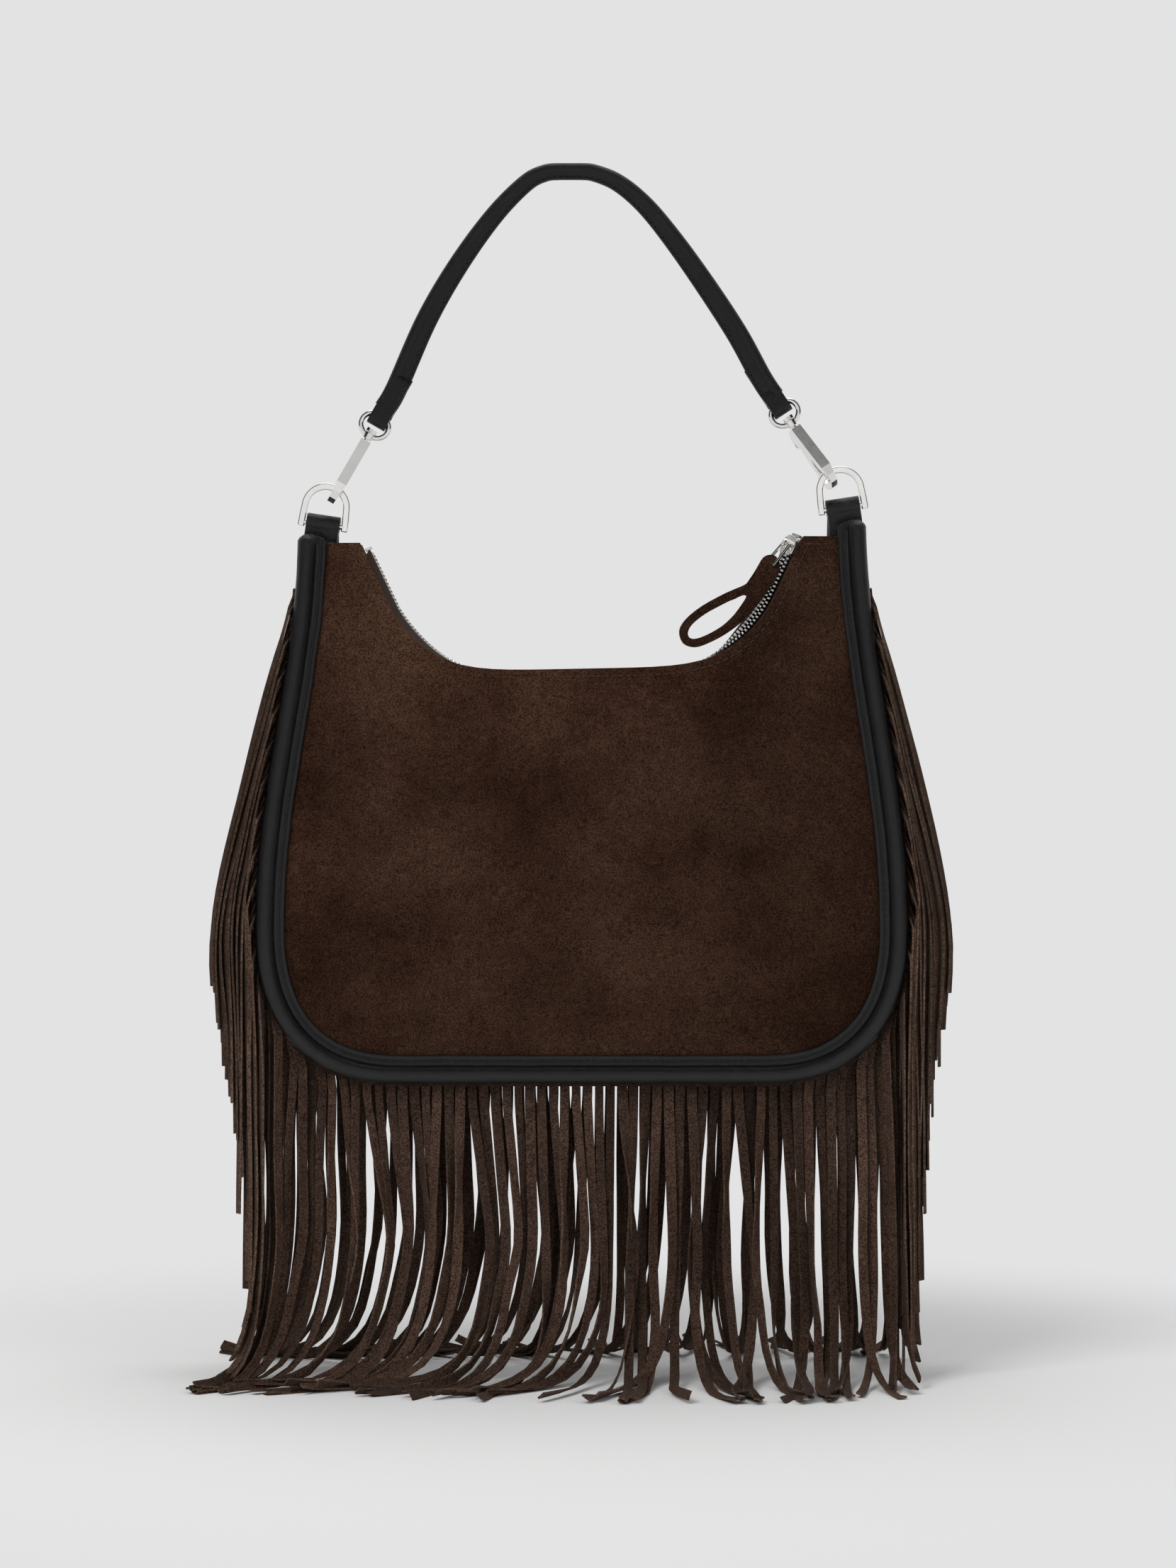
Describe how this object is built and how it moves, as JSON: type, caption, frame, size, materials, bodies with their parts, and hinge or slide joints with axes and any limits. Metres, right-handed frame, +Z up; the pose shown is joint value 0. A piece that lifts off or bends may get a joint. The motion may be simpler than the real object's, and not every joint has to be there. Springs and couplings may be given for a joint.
{
  "type": "fringed shoulder bag",
  "caption": "Small suede shoulder bag with long fringe round the front and back seams, rolled leather piping and a leather strap on two swivelling snap hooks.",
  "frame": {"origin": "flat underside of the strap at its crown, where a hook or hand holds the bag", "axes": "+X to the right seen from the front, -Y out of the front panel, +Z up"},
  "size_m": [0.3426, 0.1762, 0.5519],
  "materials": {
    "suede": "dark brown suede with a fine mottled nap",
    "piping_leather": "near-black fine-grained leather, soft sheen, black stitching",
    "strap_leather": "near-black fine-grained leather, soft sheen, painted edges",
    "nickel": "polished nickel plate",
    "zip_metal": "bright metal zip teeth",
    "zip_tape": "dark brown woven tape"
  },
  "bodies": {
    "strap": {"strap": "strap_leather", "left_eye_ring": "nickel", "right_eye_ring": "nickel"},
    "left_d_ring": {"left_d_ring": "nickel"},
    "right_d_ring": {"right_d_ring": "nickel"},
    "left_hook": {"left_hook": "nickel", "left_gate_pin": "nickel"},
    "right_hook": {"right_hook": "nickel", "right_gate_pin": "nickel"},
    "left_gate": {"left_gate": "nickel"},
    "right_gate": {"right_gate": "nickel"},
    "bag": {"back_fringe_bottom": "suede", "back_fringe_left": "suede", "back_fringe_right": "suede", "back_panel": "suede", "back_piping": "piping_leather", "back_zip_tape": "zip_tape", "back_zip_teeth": "zip_metal", "front_fringe_bottom": "suede", "front_fringe_left": "suede", "front_fringe_right": "suede", "front_panel": "suede", "front_piping": "piping_leather", "front_zip_tape": "zip_tape", "front_zip_teeth": "zip_metal", "gusset": "suede", "left_tab": "piping_leather", "right_tab": "piping_leather", "zip_bottom_stop": "zip_metal", "zip_top_stop": "zip_metal"},
    "slider": {"zip_slider": "nickel"},
    "pull": {"zip_pull": "nickel"},
    "puller_loop": {"puller_loop": "suede"}
  },
  "joints": [
    {"name": "left_ring_swing", "type": "hinge", "parent": "strap", "child": "left_d_ring", "pos_m": [-0.1062, 0, -0.14146], "axis": [0.9996, 0, 0.0299], "range_deg": [-25, 25]},
    {"name": "right_ring_swing", "type": "hinge", "parent": "strap", "child": "right_d_ring", "pos_m": [-0.1062, 0, -0.14146], "axis": [0.9996, 0, 0.0299], "range_deg": [-25, 25]},
    {"name": "bag_tilt", "type": "hinge", "parent": "left_d_ring", "child": "bag", "pos_m": [-0.1126, 0, -0.1571], "axis": [0.9995, 0, 0.0325], "range_deg": [-40, 40]},
    {"name": "left_hook_swivel", "type": "hinge", "parent": "strap", "child": "left_hook", "pos_m": [-0.09285, 0.0006, -0.11846], "axis": [0.5039, 0, 0.8638], "range_deg": [-20, 20]},
    {"name": "right_hook_swivel", "type": "hinge", "parent": "strap", "child": "right_hook", "pos_m": [0.10197, 0.00058, -0.11265], "axis": [-0.5495, 0, 0.8355], "range_deg": [-22, 0]},
    {"name": "left_gate_spring", "type": "hinge", "parent": "left_hook", "child": "left_gate", "pos_m": [-0.0973, 0.00517, -0.12512], "axis": [-0.859, -0.1045, 0.5011], "range_deg": [0, 14], "stiffness_Nm_per_rad": 0.03, "springref_deg": -17.19},
    {"name": "right_gate_spring", "type": "hinge", "parent": "right_hook", "child": "right_gate", "pos_m": [0.10544, 0.00505, -0.11994], "axis": [-0.8107, -0.2419, -0.5331], "range_deg": [0, 14], "stiffness_Nm_per_rad": 0.03, "springref_deg": -17.19},
    {"name": "slider_run", "type": "slide", "parent": "bag", "child": "slider", "axis": [-0.4299, 0, -0.9029], "range_m": [0, 0.022]},
    {"name": "pull_tilt", "type": "hinge", "parent": "slider", "child": "pull", "pos_m": [0.09851, -0.0027, -0.16603], "axis": [-0.5803, 0.766, 0.2764], "range_deg": [0, 60]},
    {"name": "loop_swing", "type": "hinge", "parent": "pull", "child": "puller_loop", "pos_m": [0.09105, -0.00507, -0.17513], "axis": [-0.5803, 0.766, 0.2764], "range_deg": [0, 32]}
  ],
  "couplings": [
    {"joint": "right_ring_swing", "follows": "left_ring_swing", "ratio": 1},
    {"joint": "loop_swing", "follows": "slider_run", "rad_per_m": 23.8}
  ]
}
